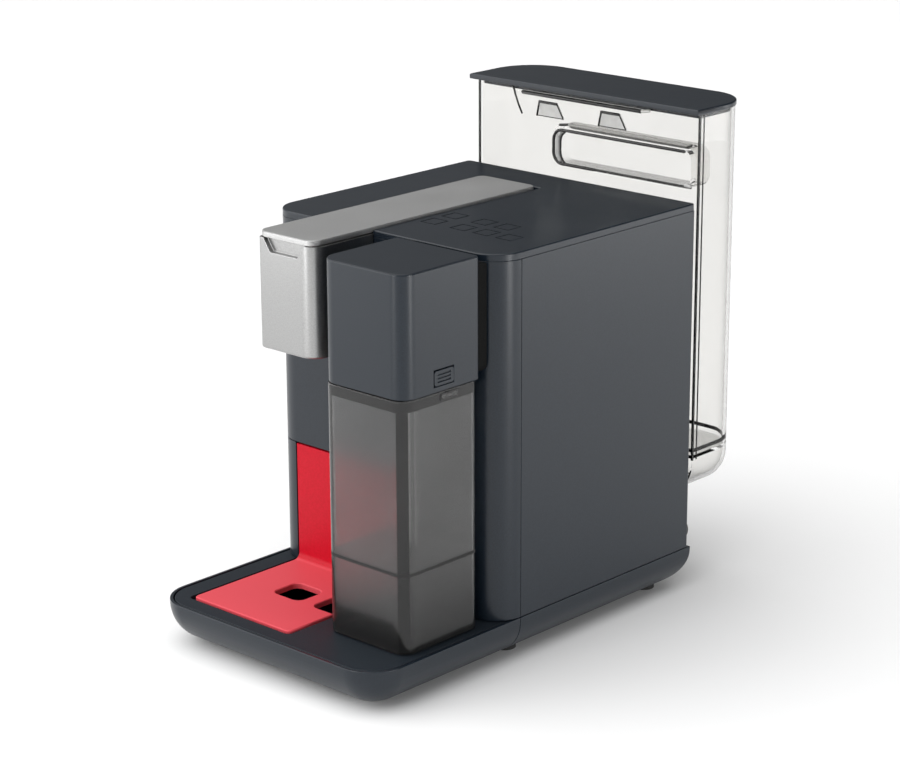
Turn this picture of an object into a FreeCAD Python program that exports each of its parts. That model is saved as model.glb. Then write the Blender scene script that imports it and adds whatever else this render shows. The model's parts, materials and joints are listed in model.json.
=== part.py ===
import FreeCAD, Part
import math
import os

import Sketcher

# Pod coffee machine with a lifting water tank at the back and a milk unit at the front.
# Frame: origin on the table under the middle of the bounding box, +X to the right of
# someone facing the machine, +Y to the back, +Z up. Millimetres.

os.makedirs("parts", exist_ok=True)
doc = FreeCAD.newDocument("pod_coffee_machine")

DRIVING = {
    "half_width": 107.0,
    "housing_front": -77.0,
    "housing_back": 129.0,
    "housing_top": 288.0,
    "split_line": -54.0,
    "front_corner": 22.5,
    "wall": 2.5,
    "seam": 0.3,
    "cover_height": 5.0,
    "base_back": 132.0,
    "base_rim": 32.5,
    "hull_bottom": 3.0,
    "hull_radius": 27.0,
    "tray_front": -196.0,
    "tray_corner": 28.5,
    "panel_left": -84.6,
    "panel_right": 9.9,
    "panel_top": 120.0,
    "plate_front": -178.0,
    "plate_top": 33.4,
    "plate_height": 4.0,
    "plate_gap": 3.4,
    "head_left": -59.5,
    "head_right": -6.0,
    "head_front": -133.0,
    "head_bottom": 208.0,
    "head_top": 285.4,
    "head_left_corner": 4.0,
    "head_right_corner": 13.0,
    "lever_bottom": 286.0,
    "lever_top": 290.0,
    "lever_back": 91.0,
    "lever_pivot_back": 80.0,
    "lever_pivot_height": 283.0,
    "lever_pin_radius": 1.5,
    "brew_height": 245.0,
    "piston_radius": 16.0,
    "milk_left": 24.7,
    "milk_right": 99.0,
    "milk_front": -157.5,
    "milk_back": -85.7,
    "milk_bottom": 207.0,
    "milk_top": 290.0,
    "milk_corner": 12.0,
    "jar_floor": 89.0,
    "jar_wall": 2.0,
    "tank_side": 104.0,
    "tank_front": 136.0,
    "tank_back": 192.0,
    "tank_bottom": 70.0,
    "tank_floor": 99.0,
    "tank_top": 349.5,
    "tank_corner": 24.0,
    "tank_hull_radius": 23.0,
    "lid_top": 353.5,
    "lid_back": 196.0,
    "lid_corner": 34.0,
    "valve_back": 155.0,
    "key_side": 13.5,
    "key_groove": 0.5,
    "running_fit": 0.06,
}


class Size:
    """A length that knows both its number and the spreadsheet formula that gives it."""

    def __init__(self, number, formula):
        self.number = number
        self.formula = formula

    def joined(self, sign, number, other):
        other = size(other)
        return Size(number(self.number, other.number), "(%s %s %s)" % (self.formula, sign, other.formula))

    def __add__(self, other):
        return self.joined("+", lambda a, b: a + b, other)

    def __sub__(self, other):
        return self.joined("-", lambda a, b: a - b, other)

    def __mul__(self, other):
        return self.joined("*", lambda a, b: a * b, other)

    def __truediv__(self, other):
        return self.joined("/", lambda a, b: a / b, other)

    def __radd__(self, other):
        return size(other) + self

    def __rsub__(self, other):
        return size(other) - self

    def __rmul__(self, other):
        return size(other) * self

    def __neg__(self):
        return Size(-self.number, "(-1 * %s)" % self.formula)


def size(value):
    return value if isinstance(value, Size) else Size(float(value), repr(float(value)))


def driving_sizes():
    """Writes the driving dimensions into the sheet and returns them by name."""
    sheet = doc.addObject("Spreadsheet::Sheet", "Dims")
    sizes = {}
    for row, (alias, number) in enumerate(DRIVING.items(), start=1):
        sheet.set("A%d" % row, alias)
        sheet.set("B%d" % row, str(number))
        sheet.setAlias("B%d" % row, alias)
        sizes[alias] = Size(number, "Dims." + alias)
    doc.recompute()
    return sizes


class Named:
    def __init__(self, values):
        self.__dict__.update(values)


d = Named(driving_sizes())
nodes = []


def bind(item, path, value):
    item.setExpression(path, size(value).formula)


def finished(item, label):
    """Marks an object as a sub-part whose label names its file."""
    item.Label = label
    nodes.append(item)
    return item


# ---- Part primitives and booleans -------------------------------------------------------


def box(label, x, y, z):
    item = doc.addObject("Part::Box", label)
    for prop, (low, high) in zip(("Length", "Width", "Height"), (x, y, z)):
        bind(item, prop, size(high) - low)
    for letter, (low, _) in zip("xyz", (x, y, z)):
        bind(item, "Placement.Base." + letter, low)
    return item


AXIS_TURN = {
    "X": FreeCAD.Rotation(FreeCAD.Vector(0, 1, 0), 90),
    "Y": FreeCAD.Rotation(FreeCAD.Vector(1, 0, 0), -90),
    "Z": FreeCAD.Rotation(),
}


def rod(label, axis, centre, low, high, radius, end_radius=None):
    """A cylinder (or a cone) along an axis; centre is the two other coordinates in order."""
    kind = "Part::Cylinder" if end_radius is None else "Part::Cone"
    item = doc.addObject(kind, label)
    item.Placement = FreeCAD.Placement(FreeCAD.Vector(), AXIS_TURN[axis])
    bind(item, "Height", size(high) - low)
    if end_radius is None:
        bind(item, "Radius", radius)
    else:
        bind(item, "Radius1", radius)
        bind(item, "Radius2", end_radius)
    others = [letter for letter in "XYZ" if letter != axis]
    bind(item, "Placement.Base." + axis.lower(), low)
    for letter, place in zip(others, centre):
        bind(item, "Placement.Base." + letter.lower(), place)
    return item


def fuse(label, *pieces):
    item = doc.addObject("Part::MultiFuse", label)
    item.Shapes = list(pieces)
    return item


def cut(label, base, *tools):
    """The base with every tool taken away; several tools are joined first."""
    tool = tools[0] if len(tools) == 1 else fuse(label + "_tools", *tools)
    item = doc.addObject("Part::Cut", label)
    item.Base = base
    item.Tool = tool
    return item


def group(label, pieces):
    item = doc.addObject("Part::Compound", label)
    item.Links = list(pieces)
    return item


def coded(label, shape, placement=FreeCAD.Placement()):
    """A sub-part whose shape is set by code."""
    item = doc.addObject("Part::Feature", label)
    item.Shape = shape
    item.Placement = placement
    return item


def coil_spring(label, coil_radius, wire_radius, turns, length, placement):
    """A helical spring that rises along its own Z axis."""
    helix = Part.makeHelix(length / turns, length, coil_radius)
    start = FreeCAD.Vector(coil_radius, 0, 0)
    section = Part.Wire(Part.makeCircle(wire_radius, start, FreeCAD.Vector(0, 1, 0)))
    coil = Part.Wire(helix.Edges).makePipeShell([section], True, True)
    return finished(coded(label, coil, placement), label)


# ---- PartDesign bodies ------------------------------------------------------------------

PLANE_ROLE = {"Z": "XY_Plane", "Y": "XZ_Plane", "X": "YZ_Plane"}
# A sketch on the XZ plane faces -Y, so its offset along Y changes sign.
PLANE_SIGN = {"Z": 1, "Y": -1, "X": 1}


def rectangle(u_low, u_high, v_low, v_high):
    return [(u_low, v_low), (u_high, v_low), (u_high, v_high), (u_low, v_high)]


def soft_rectangle(u_low, u_high, v_low, v_high, low_radius, high_radius):
    """A rectangle with round corners: one radius at v_low and another at v_high."""
    radii = (low_radius, low_radius, high_radius, high_radius)
    return {"corners": rectangle(u_low, u_high, v_low, v_high), "radii": radii}


class Bench:
    """Builds one PartDesign body feature by feature."""

    def __init__(self, label):
        self.body = doc.addObject("PartDesign::Body", label)
        self.label = label
        self.count = 0

    def fresh(self, kind):
        self.count += 1
        return self.body.newObject(kind, "%s_step%d" % (self.label, self.count))

    def sketch(self, axis, place, loops):
        """A sketch of closed loops at a place along the axis. A loop is a list of corner
        points, or a circle as (u, v, radius)."""
        sketch = self.fresh("Sketcher::SketchObject")
        role = PLANE_ROLE[axis]
        plane = [item for item in self.body.Origin.OriginFeatures if item.Role == role][0]
        sketch.AttachmentSupport = [(plane, "")]
        sketch.MapMode = "FlatFace"
        bind(sketch, "AttachmentOffset.Base.z", size(place) * PLANE_SIGN[axis])
        for loop in loops:
            if isinstance(loop, tuple):
                self.circle(sketch, *loop)
            elif isinstance(loop, dict):
                self.soft_polygon(sketch, loop["corners"], loop["radii"])
            else:
                self.polygon(sketch, loop)
        return sketch

    def constrain(self, sketch, constraint, value):
        index = sketch.addConstraint(constraint)
        bind(sketch, "Constraints[%d]" % index, value)

    def circle(self, sketch, u, v, radius):
        u, v, radius = size(u), size(v), size(radius)
        centre = FreeCAD.Vector(u.number, v.number, 0)
        normal = FreeCAD.Vector(0, 0, 1)
        geometry = sketch.addGeometry(Part.Circle(centre, normal, radius.number), False)
        self.constrain(sketch, Sketcher.Constraint("Radius", geometry, radius.number), radius)
        for kind, value in (("DistanceX", u), ("DistanceY", v)):
            place = Sketcher.Constraint(kind, -1, 1, geometry, 3, value.number)
            self.constrain(sketch, place, value)

    def pin(self, sketch, geometry, end, point):
        """Fixes one end of a line at a point."""
        for kind, value in zip(("DistanceX", "DistanceY"), point):
            place = Sketcher.Constraint(kind, -1, 1, geometry, end, value.number)
            self.constrain(sketch, place, value)

    def soft_polygon(self, sketch, corners, radii):
        """A rectangle, anticlockwise from its lowest corner, with a round at each corner."""
        corners = [(size(u), size(v)) for u, v in corners]
        radii = [size(radius) for radius in radii]
        ways = ((1, 0), (0, 1), (-1, 0), (0, -1))

        def moved(point, way, distance):
            return (point[0] + distance * way[0], point[1] + distance * way[1])

        starts = [moved(corner, way, radius) for corner, way, radius in zip(corners, ways, radii)]
        following = corners[1:] + corners[:1]
        next_radii = radii[1:] + radii[:1]
        ends = [moved(corner, way, -radius) for corner, way, radius in zip(following, ways, next_radii)]
        lines = []
        for start, end in zip(starts, ends):
            a = FreeCAD.Vector(start[0].number, start[1].number, 0)
            b = FreeCAD.Vector(end[0].number, end[1].number, 0)
            line = sketch.addGeometry(Part.LineSegment(a, b), False)
            self.pin(sketch, line, 1, start)
            self.pin(sketch, line, 2, end)
            lines.append(line)
        for i, line in enumerate(lines):
            after = (i + 1) % 4
            if next_radii[i].number < 1e-6:
                continue
            centre = moved(ends[i], ways[after], next_radii[i])
            middle = FreeCAD.Vector(centre[0].number, centre[1].number, 0)
            circle = Part.Circle(middle, FreeCAD.Vector(0, 0, 1), next_radii[i].number)
            first = math.radians(90 * i - 90)
            arc = sketch.addGeometry(Part.ArcOfCircle(circle, first, first + math.pi / 2), False)
            sketch.addConstraint(Sketcher.Constraint("Coincident", line, 2, arc, 1))
            sketch.addConstraint(Sketcher.Constraint("Coincident", arc, 2, lines[after], 1))
            radius = Sketcher.Constraint("Radius", arc, next_radii[i].number)
            self.constrain(sketch, radius, next_radii[i])

    def polygon(self, sketch, points):
        points = [(size(u), size(v)) for u, v in points]
        corners = [FreeCAD.Vector(u.number, v.number, 0) for u, v in points]
        ends = corners[1:] + corners[:1]
        lines = [sketch.addGeometry(Part.LineSegment(a, b), False) for a, b in zip(corners, ends)]
        for line, following in zip(lines, lines[1:] + lines[:1]):
            sketch.addConstraint(Sketcher.Constraint("Coincident", line, 2, following, 1))
        for line, (u, v) in zip(lines, points):
            for kind, value in (("DistanceX", u), ("DistanceY", v)):
                place = Sketcher.Constraint(kind, -1, 1, line, 1, value.number)
                self.constrain(sketch, place, value)

    def made(self, feature):
        doc.recompute()
        if "Invalid" in feature.State or "Error" in feature.State:
            raise RuntimeError("%s: %s" % (feature.Name, feature.getStatusString()))
        return self

    def pad(self, axis, low, high, *loops):
        """Adds material between two places along the axis."""
        sketch = self.sketch(axis, high if axis == "Y" else low, loops)
        feature = self.fresh("PartDesign::Pad")
        feature.Profile = sketch
        bind(feature, "Length", size(high) - low)
        return self.made(feature)

    def pocket(self, axis, low, high, *loops):
        """Takes material away between two places along the axis."""
        before = self.body.Shape.Volume
        sketch = self.sketch(axis, low if axis == "Y" else high, loops)
        feature = self.fresh("PartDesign::Pocket")
        feature.Profile = sketch
        bind(feature, "Length", size(high) - low)
        self.made(feature)
        if self.body.Shape.Volume > before - 1e-3:
            raise RuntimeError("a pocket of %s cuts nothing" % self.label)
        return self

    def edges(self, chosen):
        shape = self.body.Tip.Shape
        return ["Edge%d" % (i + 1) for i, edge in enumerate(shape.Edges) if chosen(edge)]

    def round(self, radius, chosen):
        base = self.body.Tip
        names = self.edges(chosen)
        feature = self.fresh("PartDesign::Fillet")
        feature.Base = (base, names)
        bind(feature, "Radius", radius)
        return self.made(feature)

    def chamfer(self, length, chosen):
        base = self.body.Tip
        names = self.edges(chosen)
        feature = self.fresh("PartDesign::Chamfer")
        feature.Base = (base, names)
        bind(feature, "Size", length)
        return self.made(feature)


def number(value):
    return size(value).number


def near(a, b):
    return abs(number(a) - number(b)) < 0.01


def upright(x=None, y=None):
    """Chooses straight edges along Z, with their x or y in the given places."""

    def chosen(edge):
        bounds = edge.BoundBox
        straight = bounds.XLength < 0.01 and bounds.YLength < 0.01
        x_fits = x is None or any(near(bounds.XMin, place) for place in x)
        y_fits = y is None or any(near(bounds.YMin, place) for place in y)
        return straight and x_fits and y_fits

    return chosen


def level(z, but_y=None):
    """Chooses edges that lie at one height, but not those along one y."""

    def chosen(edge):
        bounds = edge.BoundBox
        flat = near(bounds.ZMin, z) and near(bounds.ZMax, z)
        left_out = but_y is not None and near(bounds.YMin, but_y) and near(bounds.YMax, but_y)
        return flat and not left_out

    return chosen


def along_x(y, z):
    def chosen(edge):
        bounds = edge.BoundBox
        straight = bounds.YLength < 0.01 and bounds.ZLength < 0.01
        return straight and near(bounds.YMin, y) and near(bounds.ZMin, z)

    return chosen


# ---- Base and drip tray -----------------------------------------------------------------


def tray_hull(label, inset, top):
    """The front of the boat-shaped base, drawn in by an inset."""
    side = d.half_width - inset
    front = d.tray_front + inset
    back = d.split_line - inset
    bench = Bench(label)
    bench.pad("Z", d.hull_bottom + inset, top, rectangle(-side, side, front, back))
    bench.round(d.tray_corner - inset, upright(y=[front]))
    bench.round(d.hull_radius - inset, level(d.hull_bottom + inset, but_y=back))
    return bench.body


def base_hull(label, inset, top):
    """The rear of the boat-shaped base, drawn in by an inset."""
    side = d.half_width - inset
    front = d.split_line + d.seam + inset
    back = d.base_back - inset
    bench = Bench(label)
    bench.pad("Z", d.hull_bottom + inset, top, rectangle(-side, side, front, back))
    bench.round(d.hull_radius - inset, level(d.hull_bottom + inset, but_y=front))
    return bench.body


FOOT_PLACES = [(x, y) for x in (-80.0, 80.0) for y in (-40.0, 112.0)]
FOOT_RADIUS = 8.0
FOOT_TOP = 9.0
# The suction hose leaves the base for the tank dock here.
SUCTION_X = 30.0
SUCTION_Z = 20.0
# It drops through the chassis floor beside the flow meter here.
SUCTION_DROP = (38.6, 100.0)


def make_base():
    outer = base_hull("base_outer", 0.0, d.base_rim)
    inner = base_hull("base_inner", d.wall, d.base_rim + 1)
    foot_pads = [
        rod("foot_pad_%d" % i, "Z", place, d.hull_bottom - 1, FOOT_TOP + d.wall, FOOT_RADIUS + 3)
        for i, place in enumerate(FOOT_PLACES)
    ]
    pads = fuse("foot_pads", *foot_pads)
    inside = doc.addObject("Part::Common", "foot_pads_inside")
    inside.Base = pads
    inside.Tool = base_hull("base_outer_again", 0.0, d.base_rim)
    shell = cut("base_shell", outer, inner)
    sockets = [
        rod("foot_socket_%d" % i, "Z", place, 0.0, FOOT_TOP, FOOT_RADIUS)
        for i, place in enumerate(FOOT_PLACES)
    ]
    hose_hole = rod("hose_hole", "Y", (SUCTION_X, SUCTION_Z), d.base_back - 12, d.base_back + 1, 2.8)
    solid = fuse("base_with_pads", shell, inside)
    finished(cut("base_casing", solid, hose_hole, *sockets), "base_casing")
    feet = [
        rod("foot_%d" % i, "Z", place, 0.0, FOOT_TOP, FOOT_RADIUS - 0.05)
        for i, place in enumerate(FOOT_PLACES)
    ]
    finished(group("rubber_feet", feet), "rubber_feet")


def make_drip_tray():
    outer = tray_hull("tray_outer", 0.0, d.base_rim)
    inner = tray_hull("tray_inner", d.wall, d.base_rim + 1)
    finished(cut("drip_tray", outer, inner), "drip_tray")


PLATE_HOLE = (-51.0, -24.0, -136.0, -111.0)
NOTCH_LEFT = -12.0
COVER_GROOVE = 0.8


def make_tray_cover():
    """The lift-out inner cover of the drip tray, with a ledge that carries the cup plate."""
    inset = d.wall + COVER_GROOVE
    side = d.half_width - inset
    front = d.tray_front + inset
    back = d.split_line - inset
    top = d.base_rim - 0.2
    open_left = d.panel_left - d.plate_gap
    open_right = d.panel_right + 2
    open_front = d.plate_front - 2
    open_back = d.housing_front + 4
    ledge_top = d.plate_top - d.plate_height - 0.1
    ledge_width = 8.0
    bench = Bench("tray_cover")
    bench.pad("Z", ledge_top - 3, top, rectangle(-side, side, front, back))
    bench.round(d.tray_corner - inset, upright(y=[front]))
    bench.chamfer(0.5, level(top))
    bench.pocket("Z", ledge_top, top, rectangle(open_left, open_right, open_front, open_back))
    bench.round(4.0, upright(x=[open_left, open_right]))
    bench.pocket("Z", ledge_top - 3, ledge_top,
                 rectangle(open_left + ledge_width, open_right - ledge_width,
                           open_front + ledge_width, open_back - ledge_width))
    # Four legs hold the cover at the rim's height above the tray floor.
    legs = [rectangle(x, x + 4, y, y + 4) for x in (-94.0, 60.0) for y in (-160.0, -76.0)]
    bench.pad("Z", d.hull_bottom + 10, ledge_top - 3, *legs)
    finished(bench.body, "tray_cover")


def make_cup_panel():
    """One L-shaped red panel: a plate for cups and an upright splash panel behind it."""
    bottom = d.plate_top - d.plate_height
    plate_front = d.plate_front
    face = d.housing_front - 0.2
    inner = face + 3.4
    bench = Bench("cup_panel")
    profile = [
        (plate_front, bottom),
        (inner, bottom),
        (inner, d.panel_top),
        (face, d.panel_top),
        (face, d.plate_top),
        (plate_front, d.plate_top),
    ]
    bench.pad("X", d.panel_left, d.panel_right, profile)
    bench.round(5.0, along_x(face, d.plate_top))
    bench.pocket("Z", bottom, d.plate_top, rectangle(*PLATE_HOLE))
    bench.round(6.0, upright(x=[PLATE_HOLE[0], PLATE_HOLE[1]]))
    bench.pocket("Z", bottom, d.plate_top,
                 rectangle(NOTCH_LEFT, d.panel_right + 1, PLATE_HOLE[2], PLATE_HOLE[3]))
    bench.round(6.0, upright(x=[NOTCH_LEFT]))
    bench.round(3.5, upright(y=[plate_front]))
    bench.chamfer(0.6, level(d.plate_top))
    finished(bench.body, "cup_panel")


def make_bin():
    """The used-pod bin and the corner casing that it carries behind the cup panel."""
    left = -d.half_width
    right = d.panel_right + 1.5
    bottom = d.base_rim + 0.5
    back = d.split_line - d.seam
    front = d.housing_front
    bench = Bench("bin_front")
    bench.pad("Z", bottom, d.panel_top + 0.7, rectangle(left, right, front, back))
    bench.round(d.front_corner, lambda e: upright(x=[left])(e) and upright(y=[front])(e))
    bench.pocket("Z", bottom, d.panel_top + 0.7,
                 soft_rectangle(left + d.wall, right - d.wall, front + 6, back + 1, 15.0, 0.0))
    bench.pocket("Z", bottom, d.panel_top + 0.7,
                 rectangle(d.panel_left - 0.7, d.panel_right + 0.6, front, front + 3.5))
    finished(bench.body, "bin_front")

    left, right = size(-81.0), d.panel_right - 2.5
    front, back = front + 6.3, size(-12.0)
    top = 112.0
    wall = 2.0
    bench = Bench("pod_bin")
    bench.pad("Z", bottom + 1, top, soft_rectangle(left, right, front, back, 15.0, 8.0))
    inner = soft_rectangle(left + wall, right - wall, front + wall, back - wall, 13.0, 6.0)
    bench.pocket("Z", bottom + 1 + wall, top, inner)
    finished(bench.body, "pod_bin")


# ---- Housing ----------------------------------------------------------------------------


def make_front_shell():
    """The upright front of the housing, which wraps round both front corners."""
    top = d.housing_top - d.cover_height
    back = d.split_line
    bottom = d.base_rim + 0.5
    bench = Bench("front_shell")
    bench.pad("Z", bottom, top, rectangle(-d.half_width, d.half_width, d.housing_front, back))
    bench.round(d.front_corner, upright(y=[d.housing_front]))
    inner = soft_rectangle(-d.half_width + d.wall, d.half_width - d.wall,
                           d.housing_front + d.wall, back + 1, d.front_corner - d.wall, 0.0)
    bench.pocket("Z", bottom, top, inner)
    # Room for the bin and its corner casing, the brew head and the steam nozzle.
    bench.pocket("Y", d.housing_front - 1, back,
                 rectangle(-d.half_width - 1, d.panel_right + 1.8, bottom - 1, d.panel_top + 1.2))
    bench.pocket("Y", d.housing_front - 1, back,
                 rectangle(d.head_left - 0.4, d.head_right + 0.4, d.head_bottom - 0.4, top + 1))
    bench.pocket("Y", d.housing_front - 1, d.housing_front + d.wall, (64.0, 246.0, 4.2))
    finished(bench.body, "front_shell")


def make_panels():
    """Flat side panels and the rear panel."""
    top = d.housing_top - d.cover_height
    bottom = d.base_rim + 0.5
    for label, low, high in (
        ("left_panel", -d.half_width, -d.half_width + d.wall),
        ("right_panel", d.half_width - d.wall, d.half_width),
    ):
        bench = Bench(label)
        bench.pad("Z", bottom, top, rectangle(low, high, d.split_line + d.seam, d.housing_back))
        outer = low if label == "left_panel" else high
        bench.round(2.0, lambda e: upright(x=[outer])(e) and upright(y=[d.housing_back])(e))
        finished(bench.body, label)
    side = d.half_width - d.wall - 0.1
    holes = [(x, z, 2.0) for x, z in SCREW_PLACES]
    bench = Bench("rear_panel")
    bench.pad("Y", d.housing_back - d.wall, d.housing_back, rectangle(-side, side, bottom, top))
    bench.pocket("Y", d.housing_back - d.wall, d.housing_back, (GLAND_X, GLAND_Z, 5.0), *holes)
    finished(bench.body, "rear_panel")


SCREW_PLACES = [(x, z) for x in (-96.0, 96.0) for z in (70.0, 270.0)]
GLAND_X = 95.0
GLAND_Z = 44.0


def make_rear_fittings():
    """Panel screws, their posts and the mains cord gland."""
    screws = []
    for i, place in enumerate(SCREW_PLACES):
        shank = rod("screw_shank_%d" % i, "Y", place, d.housing_back - 12, d.housing_back, 1.5)
        head = rod("screw_head_%d" % i, "Y", place, d.housing_back, d.housing_back + 1.8, 3.2)
        slot = rod("screw_drive_%d" % i, "Y", place, d.housing_back + 0.7, d.housing_back + 2, 1.3)
        screws.append(cut("screw_%d" % i, fuse("screw_blank_%d" % i, shank, head), slot))
    finished(group("panel_screws", screws), "panel_screws")

    posts = []
    for i, (x, z) in enumerate(SCREW_PLACES):
        block = box("post_block_%d" % i, (x - 6, x + 6),
                    (d.housing_back - 14, d.housing_back - d.wall - 0.1), (z - 6, z + 6))
        bore = rod("post_bore_%d" % i, "Y", (x, z), d.housing_back - 13, d.housing_back, 1.55)
        posts.append(cut("post_%d" % i, block, bore))
    finished(group("screw_posts", posts), "screw_posts")

    back = d.housing_back
    bench = Bench("cord_gland")
    bench.pad("Y", back, back + 6, (GLAND_X, GLAND_Z, 9.5))
    bench.round(4.0, lambda e: near(e.BoundBox.YMin, back + 6) and near(e.BoundBox.YMax, back + 6))
    bench.pad("Y", back - 10, back, (GLAND_X, GLAND_Z, 4.9))
    bench.pocket("Y", back - 10, back + 6, (GLAND_X, GLAND_Z, 3.2))
    finished(bench.body, "cord_gland")


KEY_COLUMNS = (7.6, 34.6, 55.3, 76.0)
KEY_ROWS = ((-31.0, KEY_COLUMNS), (-10.0, KEY_COLUMNS[:3]))


def make_top_cover():
    """The top cover with the lever slot, the pin lugs and the outlines of the touch keys."""
    bottom = d.housing_top - d.cover_height
    slot_left = d.head_left - 1.3
    slot_right = d.head_right + 0.3
    lug_low = d.lever_pivot_height - 6
    bench = Bench("top_cover")
    bench.pad("Z", bottom, d.housing_top,
              rectangle(-d.half_width, d.half_width, d.housing_front, d.housing_back))
    bench.round(d.front_corner, upright(y=[d.housing_front]))
    bench.round(3.0, upright(y=[d.housing_back]))
    bench.pocket("Z", bottom, d.housing_top,
                 rectangle(slot_left, slot_right, d.housing_front - 1, d.lever_back + 3))
    lugs = [
        rectangle(low, low + 7, d.lever_pivot_back - 6, d.lever_pivot_back + 6)
        for low in (slot_left - 7, slot_right)
    ]
    bench.pad("Z", lug_low, bottom, *lugs)
    bench.pocket("X", slot_left - 6, slot_right + 6,
                 (d.lever_pivot_back, d.lever_pivot_height, d.lever_pin_radius))
    half = d.key_side / 2
    for y, columns in KEY_ROWS:
        for x in columns:
            inner = half - d.key_groove
            bench.pocket("Z", d.housing_top - 0.3, d.housing_top,
                         rectangle(x - half, x + half, y - half, y + half),
                         rectangle(x - inner, x + inner, y - inner, y + inner))
    bench.chamfer(0.6, lambda e: level(d.housing_top)(e) and e.BoundBox.DiagonalLength > 30)
    finished(bench.body, "top_cover")
    touch = box("touch_board", (-2.0, 88.0), (-44.0, 4.0), (bottom - 2.2, bottom - 0.6))
    finished(touch, "touch_board")


# ---- Lever, brew head and brew group ----------------------------------------------------


def make_lever():
    left = d.head_left
    right = d.head_right - 0.5
    front = d.head_front - 0.5
    lug_bottom = d.lever_pivot_height - 4
    bench = Bench("lever")
    bench.pad("Z", d.lever_bottom, d.lever_top, rectangle(left, right, front, d.lever_back))
    bench.round(9.0, upright(y=[front]))
    bench.round(6.0, upright(y=[d.lever_back]))
    bench.chamfer(0.7, level(d.lever_top))
    lugs = [
        rectangle(low, low + 6, d.lever_pivot_back - 4, d.lever_pivot_back + 4)
        for low in (left + 3, right - 9)
    ]
    bench.pad("Z", lug_bottom, d.lever_bottom, *lugs)
    bench.pocket("X", left, right,
                 (d.lever_pivot_back, d.lever_pivot_height, d.lever_pin_radius + d.running_fit))
    finished(bench.body, "lever")
    pin = rod("lever_pin", "X", (d.lever_pivot_back, d.lever_pivot_height),
              d.head_left - 7, d.head_right + 6, d.lever_pin_radius)
    finished(pin, "lever_pin")


POD_WINDOW_X = (-52.0, -13.5)
POD_WINDOW_Y = (-66.0, -32.0)


def make_pod_guide():
    """The plate under the lever, with the slot that a pod drops through."""
    bench = Bench("pod_guide_plate")
    bench.pad("Z", 280.4, 282.4, rectangle(d.head_left - 1, d.head_right, d.housing_front + 2.7, 70.0))
    bench.pocket("Z", 280.4, 282.4, rectangle(*POD_WINDOW_X, *POD_WINDOW_Y))
    bench.round(5.0, upright(x=list(POD_WINDOW_X)))
    finished(bench.body, "pod_guide_plate")


def make_head():
    """The silver brew head that overhangs the cup, with a finger notch under the lever."""
    back = d.housing_front + 2
    bench = Bench("head_casing")
    bench.pad("Z", d.head_bottom, d.head_top, rectangle(d.head_left, d.head_right, d.head_front, back))
    bench.round(d.head_left_corner, upright(x=[d.head_left], y=[d.head_front]))
    bench.round(d.head_right_corner, upright(x=[d.head_right], y=[d.head_front]))
    bench.round(2.0, level(d.head_bottom, but_y=back))
    bench.pocket("Y", d.head_front + d.wall + 3.5, back,
                 rectangle(d.head_left + d.wall, d.head_right - d.wall,
                           d.head_bottom + d.wall, d.head_top - d.wall))
    notch = [(-53.4, d.head_top), (-47.2, 276.2), (-21.8, 276.2), (-15.6, d.head_top)]
    bench.pocket("Y", d.head_front - 1, d.head_front + 3.4, notch)
    bench.pocket("Z", d.head_bottom, d.head_bottom + d.wall, (NOZZLE_X, NOZZLE_Y, 9.2))
    finished(bench.body, "head_casing")

    bench = Bench("outlet_nozzle")
    bench.pad("Z", 206.5, d.head_bottom + d.wall, (NOZZLE_X, NOZZLE_Y, 9.0))
    bench.pad("Z", d.head_bottom + d.wall, d.head_bottom + 5, (NOZZLE_X, NOZZLE_Y, 11.5))
    bench.pad("Z", d.head_bottom + 5, d.head_bottom + 16, (NOZZLE_X, NOZZLE_Y, 5.0))
    bench.pocket("Z", 206.5, d.head_bottom + 16, (NOZZLE_X, NOZZLE_Y, 3.0))
    finished(bench.body, "outlet_nozzle")


NOZZLE_X = -32.7
NOZZLE_Y = -107.0
BREW_X = -32.7


def make_brew_group():
    """The block that clamps a pod, its piston, seal and needle plate."""
    left, right = -58.0, -7.5
    front, back = -72.0, 24.0
    low, high = 222.0, 268.0
    block = box("brew_blank", (left, right), (front, back), (low, high))
    window = box("pod_window", POD_WINDOW_X, POD_WINDOW_Y, (low - 1, high + 1))
    bore = rod("piston_bore", "Y", (BREW_X, d.brew_height), -33.0, back + 1,
               d.piston_radius + d.running_fit)
    inlet = rod("coffee_bore", "Y", (BREW_X, d.brew_height), front - 1, -65.0, 3.0)
    finished(cut("brew_block", block, window, bore, inlet), "brew_block")

    plate = rod("needle_disc", "Y", (BREW_X, d.brew_height), -66.0, -64.5, 15.5)
    needles = [
        rod("needle_%d" % i, "Y",
            (BREW_X + 8 * math.cos(math.radians(120 * i + 90)),
             d.brew_height + 8 * math.sin(math.radians(120 * i + 90))),
            -64.6, -60.0, 1.6, 0.2)
        for i in range(3)
    ]
    drain = rod("needle_drain", "Y", (BREW_X, d.brew_height), -67.0, -64.0, 2.0)
    finished(cut("needle_plate", fuse("needle_plate_blank", plate, *needles), drain), "needle_plate")

    bench = Bench("brew_piston")
    bench.pad("Y", -34.0, 0.0, (BREW_X, d.brew_height, d.piston_radius))
    bench.pad("Y", 0.0, 34.0, (BREW_X, d.brew_height, 5.0))
    bench.pocket("Y", -34.0, -32.0, (BREW_X, d.brew_height, 12.0))
    groove = [(BREW_X, d.brew_height, d.piston_radius + 1), (BREW_X, d.brew_height, d.piston_radius - 1.5)]
    bench.pocket("Y", -12.0, -9.5, *groove)
    finished(bench.body, "brew_piston")
    ring = rod("seal_disc", "Y", (BREW_X, d.brew_height), -12.0, -9.5, d.piston_radius - 0.1)
    hole = rod("seal_hole", "Y", (BREW_X, d.brew_height), -13.0, -8.0, d.piston_radius - 1.5)
    finished(cut("piston_seal", ring, hole), "piston_seal")


# ---- Milk unit --------------------------------------------------------------------------

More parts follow.
